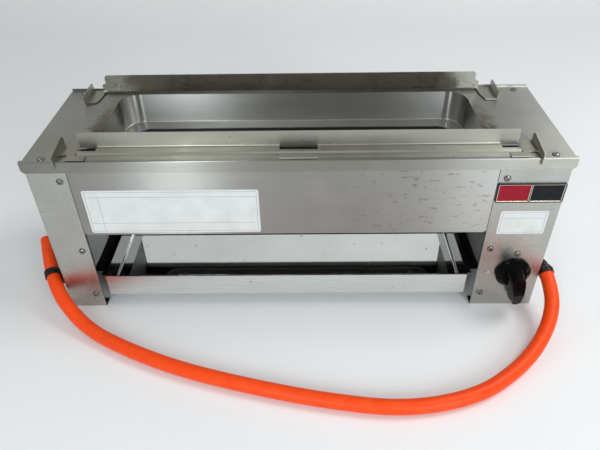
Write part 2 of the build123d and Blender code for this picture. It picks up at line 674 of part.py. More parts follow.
def control_knob():
    """Lever knob: dished skirt, a ridged grip and a long rounded pointer"""
    depth = knob_depth()
    r = SKIRT_R
    skirt = Polyline((0, 0), (r, 0), (r, 2.4), (r - 1.2, 3.6), (r - 6, SKIRT_H), (0, SKIRT_H), close=True)
    knob = revolve(Plane.XZ * make_face(skirt), Axis.Z, 360)
    tip = GRIP_TIP_W / 2
    w = GRIP_W / 2
    right = Line((w, 0), (w, GRIP_BACK - w))
    crown = ThreePointArc(right @ 1, (0, GRIP_BACK), (-w, GRIP_BACK - w))
    left = Line(crown @ 1, (-w, 0))
    taper = Line(left @ 1, (-tip, tip - LEVER_L))
    nose = ThreePointArc(taper @ 1, (0, -LEVER_L), (tip, tip - LEVER_L))
    back = Line(nose @ 1, right @ 0)
    outline = make_face([right, crown, left, taper, nose, back])
    grip = extrude(outline, depth, taper=GRIP_DRAFT)
    side = Plane(origin=(-50, 0, 0), x_dir=(0, 1, 0), z_dir=(1, 0, 0))
    low = 4.0
    keep = Polyline(
        (GRIP_BACK + 5, 0), (GRIP_BACK + 5, depth - 7), (GRIP_BACK - 5, depth), (-12, depth),
        (-LEVER_L + 4, depth - 8), (-LEVER_L - 5, depth - 12), (-LEVER_L - 5, low + 3),
        (-r + 1, low), (-r + 1, 0), close=True)
    grip &= extrude(side * make_face(keep), 100)
    knob += grip
    hole = depth - STEM_CAP + 0.2
    bore = extrude(Circle(STEM_R + 0.02), hole)
    bore -= Pos(0, STEM_R, hole - STEM_IN_KNOB / 2) * Box(12, STEM_FLAT - 0.1, STEM_IN_KNOB)
    return knob_frame() * (Rot(0, 0, KNOB_REST) * (knob - bore))


def inlet_pipe():
    """Pipe from the side of the valve to the outer wall of the control box"""
    corner = elbow_corner()
    start = (KNOB_X + VALVE_R + 6, corner[1], corner[2])
    return rod(INLET_PIPE_R, BODY_X + 2 - start[0], start, (1, 0, 0))


def gas_pipe():
    """Thin pipe from the top of the valve round to the jet"""
    start = (KNOB_X, valve_y() + 18, KNOB_Z + VALVE_R + 6)
    end = (mixer_mouth() + 7, OPEN_Y, BURNER_Z)
    bend = BODY_X - SHEET - PIPE_R - 3
    line = FilletPolyline(start, (KNOB_X, start[1], BURNER_Z), (bend, OPEN_Y, BURNER_Z), end, radius=10)
    return sweep(Plane(origin=start, z_dir=line % 0) * Circle(PIPE_R), line)


def unit(a, b):
    """Direction from one point to another"""
    d = [q - p for p, q in zip(a, b)]
    n = math.sqrt(sum(c * c for c in d))
    return tuple(c / n for c in d)


def along(a, b, distance):
    """Point at a distance from the first point toward the second"""
    return tuple(p + distance * c for p, c in zip(a, unit(a, b)))


def elbow_corner():
    """Corner of the inlet elbow, in line with the start of the hose"""
    return along(HOSE_POINTS[0], HOSE_POINTS[1], -ELBOW_DROP)


def gas_inlet_elbow():
    """Bent elbow with a hex nut on the wall and a collar against the hose"""
    corner = elbow_corner()
    down = unit(corner, HOSE_POINTS[0])
    wall = (BODY_X, corner[1], corner[2])
    nut = extrude(Plane(origin=wall, z_dir=(1, 0, 0)) * RegularPolygon(NUT_R, 6), NUT_L)
    line = FilletPolyline(wall, corner, HOSE_POINTS[0], radius=ELBOW_BEND)
    elbow = nut + sweep(Plane(origin=wall, z_dir=line % 0) * Circle(ELBOW_R), line)
    collar = along(HOSE_POINTS[0], corner, COLLAR_L)
    elbow += rod(COLLAR_R, COLLAR_L, collar, down)
    return elbow - rod(INLET_PIPE_R + 0.05, 3.05, (BODY_X - 1, corner[1], corner[2]), (1, 0, 0))


def hose_radii():
    """Bend radius at each inner point of the hose route"""
    radii = []
    for a, b, c in zip(HOSE_POINTS, HOSE_POINTS[1:], HOSE_POINTS[2:]):
        u = unit(a, b)
        v = unit(b, c)
        half = math.acos(sum(p * q for p, q in zip(u, v))) / 2
        run = min(math.dist(a, b), math.dist(b, c))
        radii.append(HOSE_STRAIGHT * run / math.tan(half))
    return radii


def gas_hose():
    """Rubber hose: from the elbow down, past the front and up to the holder"""
    radii = hose_radii()
    line = FilletPolyline(*HOSE_POINTS, radius=radii)
    hose = sweep(Plane(origin=HOSE_POINTS[0], z_dir=line % 0) * Circle(HOSE_R), line)
    print("hose length", round(line.length, 1), "radii", [round(r) for r in radii])
    print("hose volume", round(hose.volume), "section by length", round(math.pi * HOSE_R ** 2 * line.length))
    end = HOSE_POINTS[-1]
    return hose - rod(HOSE_BORE, BORE_L, end, unit(end, HOSE_POINTS[-2]))


def hose_band(run, centre, thickness, width):
    """Ring round the hose on one of its straight runs"""
    a, b = HOSE_POINTS[run], HOSE_POINTS[run + 1]
    at = along(a, b, centre - width / 2)
    return ring(HOSE_R + BAND_FIT, HOSE_R + BAND_FIT + thickness, width, at, unit(a, b))


def hose_clip_right():
    """Hose band close to the elbow, with its screw block turned down"""
    a, b = HOSE_POINTS[0], HOSE_POINTS[1]
    mid = along(a, b, CLIP_RUN)
    lean = math.degrees(math.atan2(a[2] - b[2], a[1] - b[1]))
    screw_block = Pos(*mid) * Rot(lean, 0, 0) * Pos(0, 0, -HOSE_R - 2) * Box(7, BAND_W - 1, 4)
    screw_block -= rod(HOSE_R + BAND_FIT, 30, along(a, b, CLIP_RUN - 15), unit(a, b))
    return hose_band(0, CLIP_RUN, BAND_T, BAND_W) + screw_block


def hose_holder_left():
    """Ring that carries the free end of the hose, on a bent plate from the left wall"""
    a, b = HOSE_POINTS[-3], HOSE_POINTS[-2]
    mid = along(a, b, HOLDER_RUN)
    low, high = mid[2] - HOLDER_PLATE_DOWN, mid[2] + HOLDER_PLATE_UP
    strap = block(mid[0], -BODY_X, mid[1] - 1.2, mid[1] + 1.2, low, high)
    strap += block(-BODY_X - 1.6, -BODY_X, mid[1] - 1.2, mid[1] + 12, low, high)
    strap -= rod(HOSE_R + BAND_FIT, 60, along(a, b, HOLDER_RUN - 30), unit(a, b))
    return hose_band(-3, HOLDER_RUN, BAND_T + 0.5, HOLDER_W) + strap


def front_skewer_rail():
    """Front rail: upright wall, base with windows over the lid slots and a notched lip"""
    def back(distance):
        return FRONT + distance

    base = HEIGHT + RAIL_BASE
    low = HEIGHT + RAIL_T
    wall = back(FRONT_RAIL_WALL)
    path = [(wall, FRONT_RAIL_TOP), (wall, base), (back(RAIL_STEP_BACK), base),
            (back(RAIL_STEP_FRONT), low), (back(RAIL_LIP), low)]
    rail = fold_along_x(path, FRONT_RAIL_LEFT, FRONT_RAIL_RIGHT, RAIL_T, Side.LEFT, RAIL_BEND)
    corners = rail.edges().filter_by(Axis.Y).group_by(Axis.Z)[-1]
    rail = fillet(corners, 1.5)
    windows = [(FRONT_RAIL_LEFT - 1, FRONT_RAIL_LEFT + END_NOTCH_W), (CLIP_LEFT, CLIP_LEFT + CLIP_W),
               (FRONT_RAIL_RIGHT - END_NOTCH_W, FRONT_RAIL_RIGHT + 1)]
    for x0, x1 in windows:
        rail -= block(x0, x1, wall - WINDOW_D, wall, HEIGHT, base + RAIL_BEND)
    notches = [(FRONT_RAIL_LEFT - 1, -TAB_INNER + NOTCH_GAP), (TAB_INNER - NOTCH_GAP, FRONT_RAIL_RIGHT + 1),
               (CLIP_LEFT - NOTCH_GAP, CLIP_LEFT + CLIP_W + NOTCH_GAP)]
    for x0, x1 in notches:
        rail -= block(x0, x1, back(0), back(NOTCH_BACK), HEIGHT - 1, base + 1)
    return rail


def rear_skewer_rail():
    """Rear rail: tall wall with rounded corners, end lugs and a foot folded back"""
    y = FRONT + BACK_RAIL_WALL
    low = HEIGHT + PLATE_LIFT + PLATE_T
    width = BACK_RAIL_RIGHT - BACK_RAIL_LEFT
    middle = (BACK_RAIL_LEFT + BACK_RAIL_RIGHT) / 2
    path = [(y, BACK_RAIL_TOP), (y, low), (y + BACK_RAIL_FOOT, low)]
    rail = fold_along_x(path, BACK_RAIL_LEFT, BACK_RAIL_RIGHT, RAIL_T, Side.LEFT, RAIL_BEND + RAIL_T)
    rail = fillet(rail.edges().filter_by(Axis.Y).group_by(Axis.Z)[-1], RAIL_CORNER)
    for side in (-1, 1):
        x = middle + side * (width / 2 + 1.0)
        rail += rod(LUG_R, RAIL_T, (x, y, LUG_Z), (0, 1, 0))
        x0, x1 = sorted((x + side * (FOOT_W - 1), x - side * 3))
        rail += block(x0, x1, y + 1, y + BACK_RAIL_FOOT, low, low + RAIL_T)
    return rail


def dimples(places):
    """Pressed feet that stand a bracket plate off the lid"""
    feet = [rod(DIMPLE_R, PLATE_LIFT, (x, y, HEIGHT), (0, 0, 1)) for x, y in places]
    return feet[0] + feet[1] if len(feet) > 1 else feet[0]


def front_bracket(side, inner):
    """Bracket at one end of the front rail: plate, upright ear, rim hook and tab"""
    outer = EAR_X_FRONT
    z = HEIGHT + PLATE_LIFT
    b = FRONT
    outline = [(outer, b + 11), (TAB_OUTER, b + 11), (TAB_OUTER, b + TAB_FRONT), (TAB_INNER, b + TAB_FRONT),
               (TAB_INNER, b + CLIP_BACK), (inner, b + CLIP_BACK), (inner, b + 22), (inner + 5, b + 33),
               (outer, b + 33)]
    plate = plate_from_above([(side * x, y) for x, y in outline], z, PLATE_T)
    hook = HEIGHT - HOOK_DROP
    ear = Polyline((b - 3.5, hook), (b - 3.5, z + 6), (b + 30, z + 11), (b + 34.5, z + 8), (b + 34.5, z),
                   (b - 0.1, z), (b - 0.1, hook), close=True)
    x0 = side * outer if side < 0 else outer - EAR_T
    plane = Plane(origin=(x0, 0, 0), x_dir=(0, 1, 0), z_dir=(1, 0, 0))
    upright = extrude(plane * make_face(ear), EAR_T)
    return plate + upright + dimples([(side * (outer - 8), b + 20), (side * (outer - 14), b + 14)])


def front_left_bracket():
    return front_bracket(-1, -FRONT_RAIL_LEFT + 0.6)


def front_right_bracket():
    return front_bracket(1, FRONT_RAIL_RIGHT + 0.6)


def rear_bracket(outer, inner):
    """Bracket at one end of the rear rail: plate with a cut corner and an upright ear"""
    side = 1 if outer > inner else -1
    z = HEIGHT + PLATE_LIFT
    y0, y1 = REAR_PLATE_Y
    outline = [(outer, y0), (inner + side * 4.5, y0), (inner + side * 1.0, y0 + 12), (inner, y0 + 24),
               (inner, y1), (outer, y1)]
    plate = plate_from_above(outline, z, PLATE_T)
    ear = Polyline((y0, z), (y0 - 2, z + 10), (y1 - 1, z + 10.5), (y1 + 1.5, z + 7), (y1 + 1.5, z), close=True)
    x0 = outer if side < 0 else outer - EAR_T
    plane = Plane(origin=(x0, 0, 0), x_dir=(0, 1, 0), z_dir=(1, 0, 0))
    upright = extrude(plane * make_face(ear), EAR_T)
    middle = (outer + inner) / 2
    return plate + upright + dimples([(middle, y0 + 8), (middle, y1 - 8)])


def rear_left_bracket():
    return rear_bracket(REAR_EAR_IN_LEFT - LID_W / 2, BACK_RAIL_LEFT - 3.0)


def rear_right_bracket():
    return rear_bracket(LID_W / 2 - REAR_EAR_IN_RIGHT, BACK_RAIL_RIGHT + 3.5)


def rail_clip():
    """Folded clip in the middle of the lid's front edge"""
    front = FRONT + CLIP_FRONT
    back = FRONT + CLIP_BACK
    top = HEIGHT + CLIP_H
    path = [(back, top), (front, top), (front, HEIGHT), (back - 1.5, HEIGHT)]
    return fold_along_x(path, CLIP_LEFT, CLIP_LEFT + CLIP_W, CLIP_T, Side.LEFT, CLIP_H / 2 - 0.05)


def badge_plate():
    """Bare badge: rounded plate with a raised rim and two sunk fields"""
    x0 = (RIGHT_X + BODY_X) / 2 - BADGE_W / 2 - 0.2
    middle = (x0 + BADGE_W / 2, FACE, HEIGHT - BADGE_DROP + BADGE_H / 2)
    plane = Plane(origin=middle, x_dir=(1, 0, 0), z_dir=(0, -1, 0))
    plate = extrude(plane * RectangleRounded(BADGE_W, BADGE_H, BADGE_R), BADGE_T)
    split = BADGE_W * BADGE_SPLIT
    height = BADGE_H - 2 * BADGE_RIM
    fields = [(BADGE_RIM, split - BADGE_RIM / 2), (split + BADGE_RIM / 2, BADGE_W - BADGE_RIM)]
    for a, b in fields:
        field = Pos((a + b) / 2 - BADGE_W / 2, 0) * RectangleRounded(b - a, height, BADGE_R - 0.8)
        plate -= extrude(plane.offset(BADGE_T - BADGE_SINK) * field, 2)
    return plate


def screw(at, axis):
    """Pan-head screw that enters along the axis from the point under its head"""
    plane = Plane(origin=at, z_dir=tuple(-c for c in axis))
    dome = Polyline((0, 0), (HEAD_R, 0), (HEAD_R, 0.7), (HEAD_R - 1.4, HEAD_H), (0, HEAD_H), close=True)
    head = plane * revolve(Plane.XZ * make_face(dome), Axis.Z, 360)
    return head + rod(SHANK_R, SHANK_L, at, axis)


def grouped(solids):
    """Several loose pieces in one part"""
    return Compound(children=[s.solid() for s in solids])


def front_screws():
    return grouped([screw((x, FACE, z), (0, 1, 0)) for x, z in screw_places()])


def rear_screws():
    return grouped([screw((x, BACK, z), (0, -1, 0)) for x, z in screw_places()])


def lid_screws():
    return grouped([screw((x, y, HEIGHT), (0, 0, -1)) for x, y in lid_screw_places()])


def valve_screws():
    places = (KNOB_Z + VALVE_SCREW, KNOB_Z - VALVE_SCREW)
    return grouped([screw((KNOB_X, FACE, z), (0, 1, 0)) for z in places])


def panel_plug():
    """Rivet-like plug beside the knob"""
    plug = rod(SHANK_R, 1.3, (PLUG_X, FACE, KNOB_Z), (0, 1, 0))
    return plug + rod(PLUG_R, 1.2, (PLUG_X, FACE, KNOB_Z), (0, -1, 0))


def main():
    os.makedirs("parts", exist_ok=True)
    makers = [
        top_plate, left_housing, right_housing, front_panel, rear_panel, left_inner_wall,
        right_inner_wall, left_runner, right_runner, water_tray, chamber_liner, chamber_skirt,
        front_skewer_rail, rear_skewer_rail, front_left_bracket, front_right_bracket,
        rear_left_bracket, rear_right_bracket, rail_clip, burner_tube, burner_bracket_left,
        burner_bracket_right, flame_cover, mixer_tube, air_shutter, gas_jet, gas_pipe,
        valve_body, valve_stem, control_knob, inlet_pipe, gas_inlet_elbow, gas_hose,
        hose_clip_right, hose_holder_left, badge_plate, front_screws, rear_screws,
        lid_screws, valve_screws, panel_plug,
    ]
    for maker in makers:
        piece = maker()
        export_step(piece, f"parts/{maker.__name__}.step")
        box = piece.bounding_box()
        print(maker.__name__, round(piece.volume, 1), len(piece.solids()), box)


main()
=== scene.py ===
import math
import bmesh
import bpy
from mathutils import Matrix, Vector


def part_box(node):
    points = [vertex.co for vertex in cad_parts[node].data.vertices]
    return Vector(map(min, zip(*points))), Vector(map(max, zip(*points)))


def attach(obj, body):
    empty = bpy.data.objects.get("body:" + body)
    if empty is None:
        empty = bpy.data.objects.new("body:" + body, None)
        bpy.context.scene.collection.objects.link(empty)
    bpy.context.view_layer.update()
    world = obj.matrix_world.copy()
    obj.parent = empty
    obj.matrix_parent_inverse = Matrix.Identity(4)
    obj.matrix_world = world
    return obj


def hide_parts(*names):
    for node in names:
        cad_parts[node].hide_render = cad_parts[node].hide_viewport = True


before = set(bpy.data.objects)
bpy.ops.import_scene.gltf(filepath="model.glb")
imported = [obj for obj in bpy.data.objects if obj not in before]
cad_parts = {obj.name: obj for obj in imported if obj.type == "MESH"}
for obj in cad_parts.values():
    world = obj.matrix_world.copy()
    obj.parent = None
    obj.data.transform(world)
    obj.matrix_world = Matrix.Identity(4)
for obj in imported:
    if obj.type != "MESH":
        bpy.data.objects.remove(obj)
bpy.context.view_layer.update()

CASING = "casing"
QUARTER = math.pi / 2

# Boxes of CAD nodes, each as (lowest corner, highest corner)
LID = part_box("top_plate")
LEFT_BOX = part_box("left_housing")
RIGHT_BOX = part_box("right_housing")
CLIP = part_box("rail_clip")
REAR_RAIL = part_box("rear_skewer_rail")
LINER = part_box("chamber_liner")
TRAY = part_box("water_tray")
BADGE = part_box("badge_plate")
LID_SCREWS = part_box("lid_screws")
VALVE_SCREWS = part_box("valve_screws")

# Places on the grill, in metres
FRONT = LID[0].y
BACK = LID[1].y
FACE = RIGHT_BOX[0].y
LID_TOP = CLIP[0].z      # the clip lies on the lid
BODY_X = RIGHT_BOX[1].x
LEFT_X = LEFT_BOX[1].x
RIGHT_X = RIGHT_BOX[0].x
REAR_RAIL_X = (REAR_RAIL[0].x + REAR_RAIL[1].x) / 2

# Cooking opening, inside the liner's flange
LINER_FLANGE = 0.0035
MOUTH_X = (LINER[0].x + LINER[1].x) / 2
MOUTH_Y = (LINER[0].y + LINER[1].y) / 2
MOUTH_W = LINER[1].x - LINER[0].x - 2 * LINER_FLANGE
MOUTH_D = LINER[1].y - LINER[0].y - 2 * LINER_FLANGE
MOUTH_R = 0.022
BEHIND_RAIL = (-0.219, 0.202, -0.0625, -0.0380)   # lid darkened with painted shade under the front rail, as (x0, x1, y0, y1)

# Tray between its side flanges
TRAY_FLANGE = 0.0047
TRAY_X = (TRAY[0].x + TRAY[1].x) / 2
TRAY_HALF = (TRAY[1].x - TRAY[0].x) / 2 - TRAY_FLANGE
TRAY_SKIN = TRAY[0].y + 0.0007   # the front's finish ends inside its wall
TRAY_BLEND = 0.0002
TRAY_SIDE_FROM = 0.0022  # the side walls' painted shade fades in between these two depths
TRAY_SIDE_TO = 0.0015
TRAY_EDGE = 0.0009       # rusty ends of the front

# Screws
HEAD_R = 0.0038
HEAD_H = 0.0020
SCREW_HEIGHTS = (0.020, 0.0875, LID_TOP - 0.024)
SCREW_EDGE = 0.0088      # screws from the inner edge of a box face
LID_SCREW_X = LID_SCREWS[1].x - HEAD_R
LID_SCREW_Y = (FRONT + 0.0065, FRONT + 0.1565)
KNOB_X = (VALVE_SCREWS[0].x + VALVE_SCREWS[1].x) / 2
KNOB_Z = 0.0526
VALVE_SCREW = 0.0275     # valve screws above and below the knob's axis
HEAD_SIDES = 20
HEAD_PROFILE = ((1.0, 0.0), (0.97, 0.45), (0.84, 0.80), (0.62, 1.0))   # shares of radius and height
CROSS_ARM = 0.0019
CROSS_HALF = 0.00042
CROSS_DEPTH = 0.0011
CROSS_TAPER = 0.7        # floor of the recess against its top

# Badge fields, a pair inside the badge's rim
BADGE_RIM = 0.0016
FIELD_GAP = 0.0016
BORDER_HALF = 0.00038
BADGE_X = (BADGE[0].x + BADGE[1].x) / 2
FIELD_LOW = BADGE[0].z + BADGE_RIM
FIELD_TOP = BADGE[1].z - BADGE_RIM
RED_FIELD = (BADGE[0].x + BADGE_RIM, BADGE_X - FIELD_GAP / 2, FIELD_LOW, FIELD_TOP)
BLACK_FIELD = (BADGE_X + FIELD_GAP / 2, BADGE[1].x - BADGE_RIM, FIELD_LOW, FIELD_TOP)

# Bare labels as (side, (x0, x1, z0, z1), heights of the ruled lines, places of the upright lines)
LABELS = [
    ("left", (-0.2255, -0.0405, 0.1139, 0.1697), (0.1610, 0.1270), (-0.2100,)),
    ("right", (0.2160, 0.2670, 0.1085, 0.1395), (0.1300,), ()),
]
LABEL_T = 0.00018
LABEL_R = 0.0022
LABEL_FRAME = 0.0024     # ruled frame inside the label's edge
RULE_HALF = 0.00016
CORNER_STEPS = 6

# Hose route, the same points as the CAD hose
HOSE_FROM_RIGHT = [      # X from the outer wall of the control box
    (0.0103, -0.0585, 0.0466), (0.01305, -0.0860, 0.0364), (0.00415, -0.1160, 0.0250),
    (-0.01735, -0.1470, 0.0140), (-0.04835, -0.1755, 0.0080), (-0.09535, -0.2065, 0.0080),
    (-0.16735, -0.2215, 0.0080), (-0.24535, -0.2120, 0.0080),
]
HOSE_FROM_LEFT = [       # X from the outer wall of the other box
    (0.22735, -0.1935, 0.0080), (0.14935, -0.1710, 0.0080), (0.08435, -0.1430, 0.0080),
    (0.03135, -0.1125, 0.0080), (-0.00615, -0.0800, 0.0315), (-0.02765, -0.0340, 0.0475),
    (-0.03615, -0.0090, 0.0560),
]
HOSE_POINTS = [(BODY_X + x, y, z) for x, y, z in HOSE_FROM_RIGHT]
HOSE_POINTS += [(x - BODY_X, y, z) for x, y, z in HOSE_FROM_LEFT]
HOSE_R = 0.0080
HOSE_BORE = 0.00475
BORE_T = 0.0004          # thin black disc that closes the bore, painted shade of the hollow
BORE_OUT = 0.00005       # its middle beyond the hose's end
BORE_SIDES = 32

# Camera that stands where the photograph was taken, with its turns in degrees
CAMERA_AT = (0.01139, -0.56122, 0.50742)
CAMERA_TURN = 1.072
CAMERA_TILT = 51.993
CAMERA_ROLL = -1.064
LENS = 34.6
FILM_W = 36.0
NEAR = 0.01

# Floor that sweeps up into a backdrop
FLOOR_FRONT = -4.0
FLOOR_BACK = 0.9
FLOOR_HALF = 5.0
SWEEP_R = 0.35
SWEEP_STEPS = 12
BACKDROP_TOP = 4.0

# Lamps as (name, place, aim, size, power, colour)
LAMPS = [
    ("key_right", (1.05, 0.10, 1.45), (0.0, -0.05, 0.05), (0.7, 0.7), 11.0, (0.99, 0.99, 1.0)),
    ("fill_left", (-1.2, 0.3, 1.5), (0, 0, 0.1), (1.0, 0.8), 2.0, (1.0, 0.985, 0.95)),
    ("window_left", (-0.435, -1.47, 0.72), (-0.10, 0.0, 0.15), (0.20, 0.85), 7.8, (0.88, 0.96, 1.0)),
    ("window_right", (0.86, -1.47, 0.72), (0.20, 0.0, 0.10), (0.60, 0.85), 12.5, (0.88, 0.96, 1.0)),
    ("overhead", (-0.2, -0.75, 1.7), (0, -0.3, 0), (1.2, 0.7), 1.5, (1.0, 1.0, 0.99)),
]
STUDIO_TONE = (0.86, 0.88, 0.90, 1)
STUDIO_LIGHT = 0.38

# Colours of wear and dirt, and of painted shade
WARM_SHARE = (0.78, 0.72, 0.62)  # heat tint as a share of the sheet's own tone
SPECK = (0.10, 0.085, 0.065)
HEAT_BROWN = (0.115, 0.085, 0.05)
# painted shade on the lid under the front rail
RAIL_SHADE_BROWN = (0.05, 0.036, 0.02)
FIRE_BROWN = (0.31, 0.265, 0.21)
SCUFF = (0.20, 0.18, 0.15)
RUST = (0.28, 0.15, 0.07)
# painted shade on the leg boxes' inner faces
BOX_INSIDE_SHADE = (0.06, 0.06, 0.056)
# painted shade on the panels' inner faces
PANEL_INSIDE_SHADE = (0.07, 0.068, 0.062)
# painted shade on the tray's side walls and flanges
TRAY_SIDE_SHADE = (0.05, 0.052, 0.05)
RULE_GREY = (0.16, 0.16, 0.17)
BORDER_GOLD = (0.62, 0.58, 0.48)
SKIN = 0.0003            # how deep the finish of a sheet's face goes

# Direction across the brushing, and the sockets of a Mix node that mixes colours
ACROSS = (("X", 0.02), ("Y", 0.30), ("Z", 1.0))
MIX_FACTOR = 0
MIX_A = 6
MIX_B = 7
MIX_COLOUR = 2


def link(obj):
    """Put a new object into the scene"""
    bpy.context.scene.collection.objects.link(obj)
    return obj


def make_camera():
    """Camera at the photograph's place and angle"""
    data = bpy.data.cameras.new("camera")
    data.sensor_width = FILM_W
    data.lens = LENS
    data.clip_start = NEAR
    camera = link(bpy.data.objects.new("camera", data))
    turn = Matrix.Rotation(math.radians(CAMERA_TURN), 4, "Z")
    tilt = Matrix.Rotation(math.radians(CAMERA_TILT), 4, "X")
    roll = Matrix.Rotation(math.radians(CAMERA_ROLL), 4, "Z")
    camera.matrix_world = Matrix.Translation(CAMERA_AT) @ turn @ tilt @ roll
    bpy.context.scene.camera = camera


# Node helpers

def new_material(name):
    """Material with its node tree and shader"""
    material = bpy.data.materials.new(name)
    material.use_nodes = True
    tree = material.node_tree
    return material, tree, tree.nodes["Principled BSDF"]


def place(tree, scale=(1, 1, 1)):
    """Object coordinates, stretched by a scale"""
    coordinates = tree.nodes.new("ShaderNodeTexCoord")
    mapping = tree.nodes.new("ShaderNodeMapping")
    mapping.inputs["Scale"].default_value = scale
    tree.links.new(coordinates.outputs["Object"], mapping.inputs["Vector"])
    return mapping.outputs["Vector"]


def axes(tree):
    """Object coordinates as separate X, Y and Z"""
    node = tree.nodes.new("ShaderNodeSeparateXYZ")
    tree.links.new(place(tree), node.inputs["Vector"])
    return node.outputs["X"], node.outputs["Y"], node.outputs["Z"]


def noise(tree, vector, scale=1.0, detail=4.0, roughness=0.55, distortion=0.0):
    """Noise value between 0 and 1"""
    node = tree.nodes.new("ShaderNodeTexNoise")
    node.inputs["Scale"].default_value = scale
    node.inputs["Detail"].default_value = detail
    node.inputs["Roughness"].default_value = roughness
    node.inputs["Distortion"].default_value = distortion
    tree.links.new(vector, node.inputs["Vector"])
    return node.outputs["Fac"]


def ramp(tree, value, low, high, *more):
    """Colour ramp through two or more stops, each a position and a colour"""
    node = tree.nodes.new("ShaderNodeValToRGB")
    points = node.color_ramp.elements
    stops = (low, high, *more)
    while len(points) < len(stops):
        points.new(0.5)
    for point, (position, colour) in zip(points, stops):
        point.position = position
        point.color = (*colour, 1.0)
    tree.links.new(value, node.inputs["Fac"])
    return node.outputs["Color"]


def stretch(tree, value, low, high, out_low=0.0, out_high=1.0):
    """Value mapped from one range to another and held there"""
    node = tree.nodes.new("ShaderNodeMapRange")
    node.clamp = True
    for name, number in (("From Min", low), ("From Max", high), ("To Min", out_low), ("To Max", out_high)):
        node.inputs[name].default_value = number
    tree.links.new(value, node.inputs["Value"])
    return node.outputs["Result"]


def math_node(tree, operation, *values):
    """Sockets or numbers through one Math node"""
    node = tree.nodes.new("ShaderNodeMath")
    node.operation = operation
    for socket, value in zip(node.inputs, values):
        if isinstance(value, (int, float)):
            socket.default_value = value
        else:
            tree.links.new(value, socket)
    return node.outputs[0]


def times(tree, a, b):
    """Product of two values"""
    return math_node(tree, "MULTIPLY", a, b)


def off_from(tree, value, centre):
    """Distance of a value from a centre, either way"""
    return math_node(tree, "ABSOLUTE", math_node(tree, "SUBTRACT", value, centre))


def mix(tree, factor, a, b):
    """Mix of two colours, each a colour or a socket, by a factor's socket"""
    node = tree.nodes.new("ShaderNodeMix")
    node.data_type = "RGBA"
    for index, value in ((MIX_FACTOR, factor), (MIX_A, a), (MIX_B, b)):
        if isinstance(value, tuple):
            node.inputs[index].default_value = (*value, 1.0)
        else:
            tree.links.new(value, node.inputs[index])
    return node.outputs[MIX_COLOUR]


def bump(tree, shader, height, strength, distance):
    """Bump from a height value"""
    node = tree.nodes.new("ShaderNodeBump")
    node.inputs["Strength"].default_value = strength
    node.inputs["Distance"].default_value = distance
    tree.links.new(height, node.inputs["Height"])
    tree.links.new(node.outputs["Normal"], shader.inputs["Normal"])


def between(tree, value, low, high, blend):
    """1 between two places along an axis, with a short blend inside each"""
    rise = stretch(tree, value, low, low + blend)
    fall = stretch(tree, value, high - blend, high, 1.0, 0.0)
    return times(tree, rise, fall)


def box_distance(tree, first, second, box):
    """Distance outside a rectangle given as two ranges on two axes, below zero inside"""
    a0, a1, b0, b1 = box
    past_a = math_node(tree, "SUBTRACT", off_from(tree, first, (a0 + a1) / 2), (a1 - a0) / 2)
    past_b = math_node(tree, "SUBTRACT", off_from(tree, second, (b0 + b1) / 2), (b1 - b0) / 2)
    return math_node(tree, "MAXIMUM", past_a, past_b)


def line_at(tree, value, at, half):
    """1 on a thin line where a value passes a number"""
    return math_node(tree, "LESS_THAN", off_from(tree, value, at), half)


def even(number):
    """The same number on all three axes, or in all three parts of a colour"""
    return (number, number, number)


def shade(colour, share):
    """Colour times a share, held at white"""
    return tuple(min(1.0, part * share) for part in colour)


# Finishes

def brushed(tree, shader, amount):
    """Brushing along the sheet, so lamps smear across the grain"""
    across = tree.nodes.new("ShaderNodeCombineXYZ")
    for name, share in ACROSS:
        across.inputs[name].default_value = share
    tree.links.new(across.outputs["Vector"], shader.inputs["Tangent"])
    shader.inputs["Anisotropic"].default_value = amount


def sheet_steel(name, grain, tone, rough, stain=0.4, specks=0.5, speck_scale=330.0, brush=1.0, depth=0.06):
    """Stainless sheet: fine grain one way, wiped patches, faint stains and specks"""
    material, tree, shader = new_material(name)
    fine = noise(tree, place(tree, grain), detail=3.0, roughness=0.7)
    broad = noise(tree, place(tree, even(8)), detail=4.0, roughness=0.6, distortion=0.5)
    wiped = noise(tree, place(tree, even(30)), detail=6.0, roughness=0.65, distortion=1.0)
    spots = place(tree, (speck_scale, speck_scale * 0.7, speck_scale * 0.8))
    dots = noise(tree, spots, detail=2.0, roughness=0.5)
    colour = ramp(tree, fine, (0.3, shade(tone, 0.94)), (0.7, shade(tone, 1.05)))
    warm = tuple(part * share for part, share in zip(tone, WARM_SHARE))
    colour = mix(tree, stretch(tree, broad, 0.45, 0.72, 0.0, stain), colour, warm)
    colour = mix(tree, stretch(tree, dots, 0.71, 0.76, 0.0, specks), colour, SPECK)
    patches = stretch(tree, wiped, 0.35, 0.7, *rough)
    lines = stretch(tree, fine, 0.2, 0.8, -0.03, 0.03)
    shader.inputs["Metallic"].default_value = 1.0
    tree.links.new(math_node(tree, "ADD", patches, lines), shader.inputs["Roughness"])
    tree.links.new(colour, shader.inputs["Base Color"])
    bump(tree, shader, fine, strength=depth, distance=0.0002)
    brushed(tree, shader, brush)
    return material, tree, shader, colour


def steel(name, **settings):
    """Stainless sheet with nothing added"""
    return sheet_steel(name, **settings)[0]


